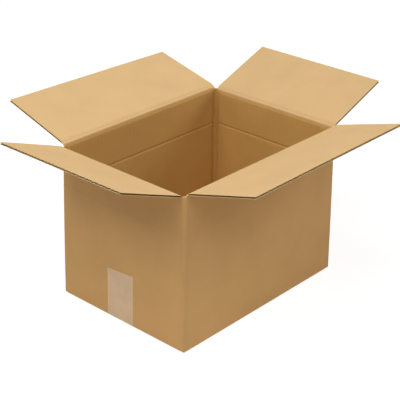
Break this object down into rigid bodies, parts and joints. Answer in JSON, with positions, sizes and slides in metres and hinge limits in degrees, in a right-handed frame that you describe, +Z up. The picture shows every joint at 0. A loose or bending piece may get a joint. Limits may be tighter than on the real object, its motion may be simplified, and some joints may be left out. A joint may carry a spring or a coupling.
{
  "type": "open cardboard box",
  "caption": "Open shipping box of corrugated board with hinged top flaps folded outwards and a taped bottom.",
  "frame": {"origin": "on the floor, under the middle of the box and of its four open flaps", "axes": "+X along the long walls, +Y from the front wall to the back wall, +Z up"},
  "size_m": [0.5468, 0.4608, 0.2757],
  "materials": {
    "brown_board": "matte brown paper liners on single-wall corrugated board",
    "tape_film": "thin clear packing film, slightly hazy, glued flat"
  },
  "bodies": {
    "carton_body": {"carton": "brown_board", "packing_tape": "tape_film"},
    "front_flap_body": {"front_flap": "brown_board"},
    "back_flap_body": {"back_flap": "brown_board"},
    "left_flap_body": {"left_flap": "brown_board"},
    "right_flap_body": {"right_flap": "brown_board"}
  },
  "joints": [
    {"name": "front_flap_fold", "type": "hinge", "parent": "carton_body", "child": "front_flap_body", "pos_m": [0, -0.118, 0.236], "axis": [-1, 0, 0], "range_deg": [-102, 163]},
    {"name": "back_flap_fold", "type": "hinge", "parent": "carton_body", "child": "back_flap_body", "pos_m": [0, 0.118, 0.236], "axis": [1, 0, 0], "range_deg": [-102, 163]},
    {"name": "left_flap_fold", "type": "hinge", "parent": "carton_body", "child": "left_flap_body", "pos_m": [-0.163, 0, 0.2327], "axis": [0, 1, 0], "range_deg": [-105, 160]},
    {"name": "right_flap_fold", "type": "hinge", "parent": "carton_body", "child": "right_flap_body", "pos_m": [0.163, 0, 0.2327], "axis": [0, -1, 0], "range_deg": [-105, 160]}
  ]
}
